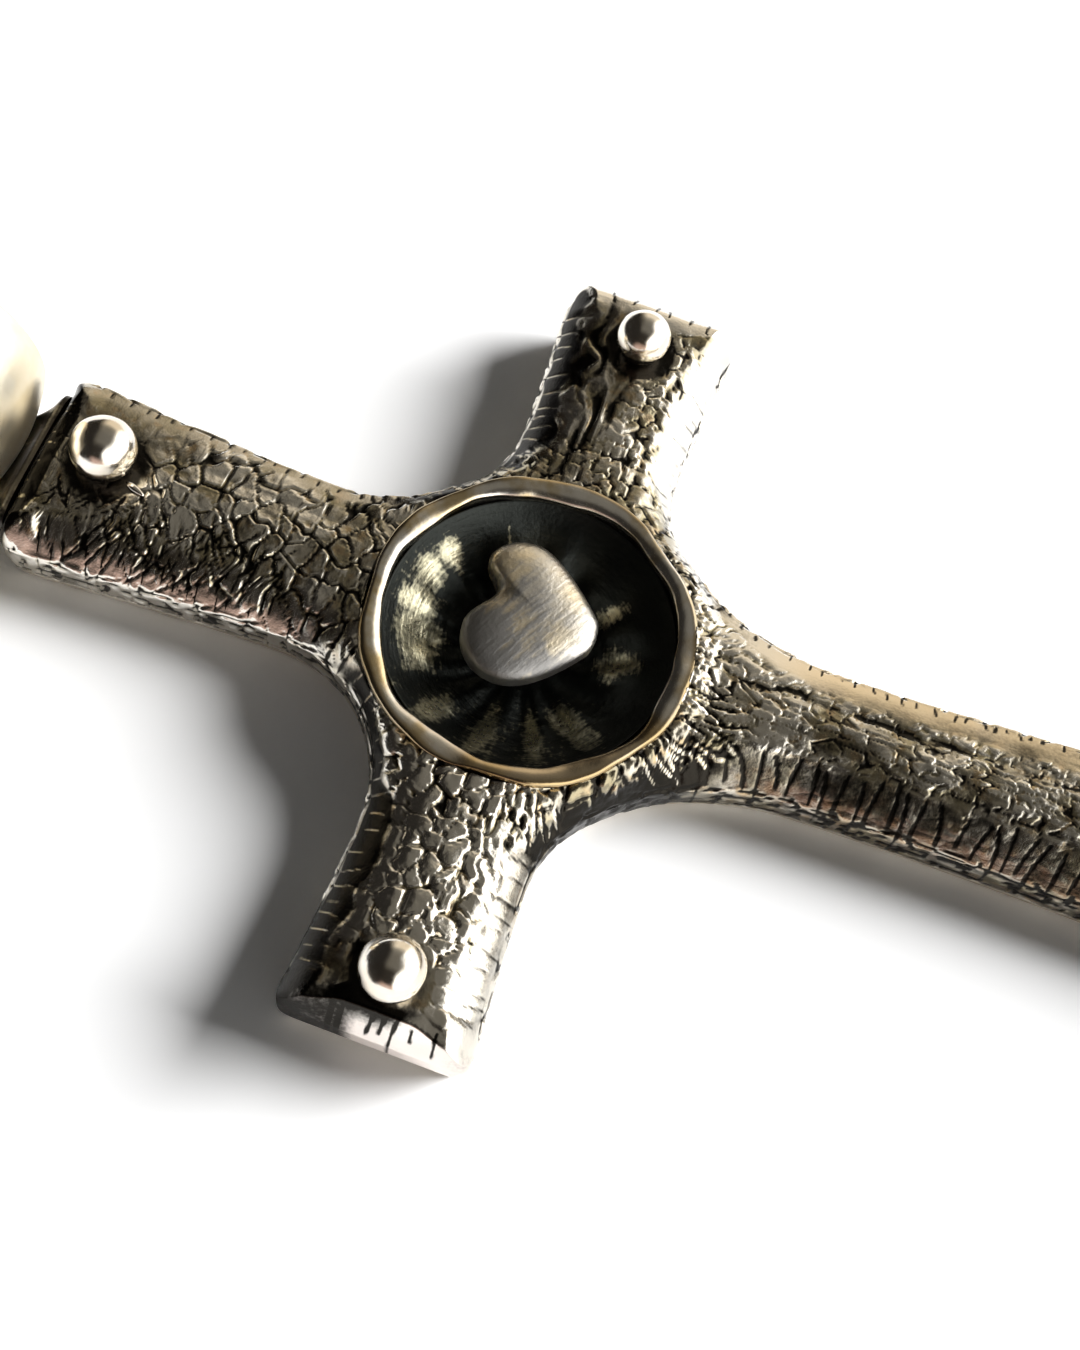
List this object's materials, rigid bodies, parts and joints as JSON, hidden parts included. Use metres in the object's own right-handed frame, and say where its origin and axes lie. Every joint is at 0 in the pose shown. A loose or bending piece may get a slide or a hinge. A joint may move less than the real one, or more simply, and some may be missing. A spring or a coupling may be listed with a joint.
{
  "type": "cross pendant",
  "caption": "Hollow cross pendant with crackled face, domed heart in a fluted dish inside a raised bezel, ball pins on the arms and a puffed bail that swings on a lug.",
  "frame": {"origin": "centre of the bezel, on the flat back face", "axes": "+Z out of the crackled face, +Y along the long axis to the bail, +X to the right arm seen from the front with the bail up"},
  "size_m": [0.042, 0.0835, 0.0126],
  "materials": {
    "silver_face": "oxidised silver, crackled relief, black in the cracks and rubbed bright on the raised parts",
    "silver_back": "satin silver sheet with fine scratches and light tarnish",
    "silver_polished": "hand-polished silver",
    "silver_black": "heavily oxidised silver, rubbed on the ridges",
    "silver_matte": "matte mottled silver with a rubbed edge"
  },
  "bodies": {
    "cross": {"back_plate": "silver_back", "front_shell": "silver_face", "bezel_ring": "silver_polished", "fluted_dish": "silver_black", "heart_post": "silver_black", "heart": "silver_matte", "ball_pin_top": "silver_polished", "ball_pin_right": "silver_polished", "ball_pin_left": "silver_polished", "ball_pin_foot": "silver_polished", "bail_lug": "silver_black"},
    "bail": {"bail_loop": "silver_polished", "hinge_pin": "silver_polished"}
  },
  "joints": [
    {"name": "bail_hinge", "type": "hinge", "parent": "cross", "child": "bail", "pos_m": [0, 0.029, 0.0027], "axis": [1, 0, 0], "range_deg": [-88, 3]}
  ]
}
